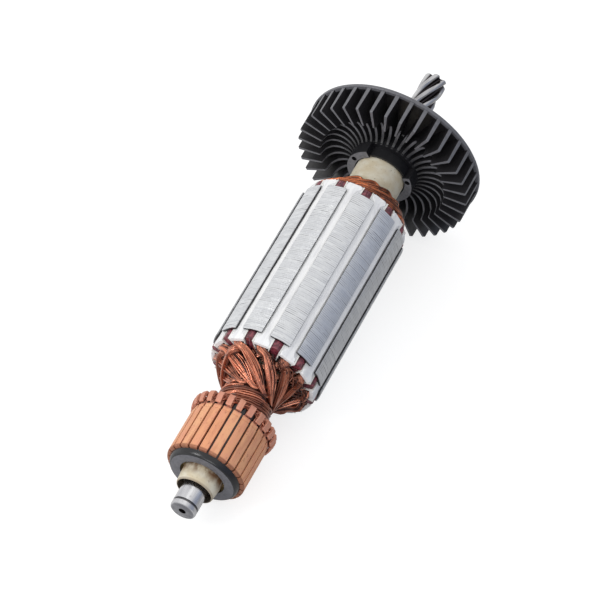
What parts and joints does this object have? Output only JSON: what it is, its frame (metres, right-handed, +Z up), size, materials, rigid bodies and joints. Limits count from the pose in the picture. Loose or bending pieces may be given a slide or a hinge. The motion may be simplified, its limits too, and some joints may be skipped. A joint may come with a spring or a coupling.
{
  "type": "motor armature",
  "caption": "Wound rotor of a small universal motor: laminated core, copper coils, commutator, cooling fan and a steel shaft with a helical pinion.",
  "frame": {"origin": "centre of the bounding box at the surface that the armature lies on", "axes": "+Z up, +X along the horizontal projection of the rotor axis from the commutator end to the pinion; the axis rises 7.7 degrees towards the pinion because the part lies on its commutator rim, core edge and fan rim"},
  "size_m": [0.1767, 0.0584, 0.0589],
  "materials": {
    "shaft_steel": "ground steel with a faint oil film",
    "sleeve_plastic": "cream moulded plastic with brown stains",
    "lamination_steel": "bare ground laminations with fine cross lines",
    "fibre": "dark red varnished fibre board",
    "liner_paper": "white insulating paper",
    "wedge_strip": "white insulating strip",
    "coil_wire": "enamelled copper wire, reddish brown",
    "bar_copper": "turned bare copper",
    "bush_metal": "turned",
    "moulding_plastic": "black moulding compound",
    "fan_plastic": "black glass-filled moulding with grey edges"
  },
  "bodies": {
    "root": {"shaft": "shaft_steel", "insulating_sleeve": "sleeve_plastic", "lamination_stack": "lamination_steel", "front_fibre_star": "fibre", "rear_fibre_star": "fibre", "slot_liners": "liner_paper", "commutator_bush": "bush_metal", "commutator_moulding": "moulding_plastic", "lead_wraps": "coil_wire", "fan": "fan_plastic", "slot_wedge_01": "wedge_strip", "slot_wedge_02": "wedge_strip", "slot_wedge_03": "wedge_strip", "slot_wedge_04": "wedge_strip", "slot_wedge_05": "wedge_strip", "slot_wedge_06": "wedge_strip", "slot_wedge_07": "wedge_strip", "slot_wedge_08": "wedge_strip", "slot_wedge_09": "wedge_strip", "slot_wedge_10": "wedge_strip", "slot_wedge_11": "wedge_strip", "slot_wedge_12": "wedge_strip", "coil_01": "coil_wire", "coil_02": "coil_wire", "coil_03": "coil_wire", "coil_04": "coil_wire", "coil_05": "coil_wire", "coil_06": "coil_wire", "coil_07": "coil_wire", "coil_08": "coil_wire", "coil_09": "coil_wire", "coil_10": "coil_wire", "coil_11": "coil_wire", "coil_12": "coil_wire", "commutator_bar_01": "bar_copper", "commutator_bar_02": "bar_copper", "commutator_bar_03": "bar_copper", "commutator_bar_04": "bar_copper", "commutator_bar_05": "bar_copper", "commutator_bar_06": "bar_copper", "commutator_bar_07": "bar_copper", "commutator_bar_08": "bar_copper", "commutator_bar_09": "bar_copper", "commutator_bar_10": "bar_copper", "commutator_bar_11": "bar_copper", "commutator_bar_12": "bar_copper", "commutator_bar_13": "bar_copper", "commutator_bar_14": "bar_copper", "commutator_bar_15": "bar_copper", "commutator_bar_16": "bar_copper", "commutator_bar_17": "bar_copper", "commutator_bar_18": "bar_copper", "commutator_bar_19": "bar_copper", "commutator_bar_20": "bar_copper", "commutator_bar_21": "bar_copper", "commutator_bar_22": "bar_copper", "commutator_bar_23": "bar_copper", "commutator_bar_24": "bar_copper"}
  },
  "joints": []
}
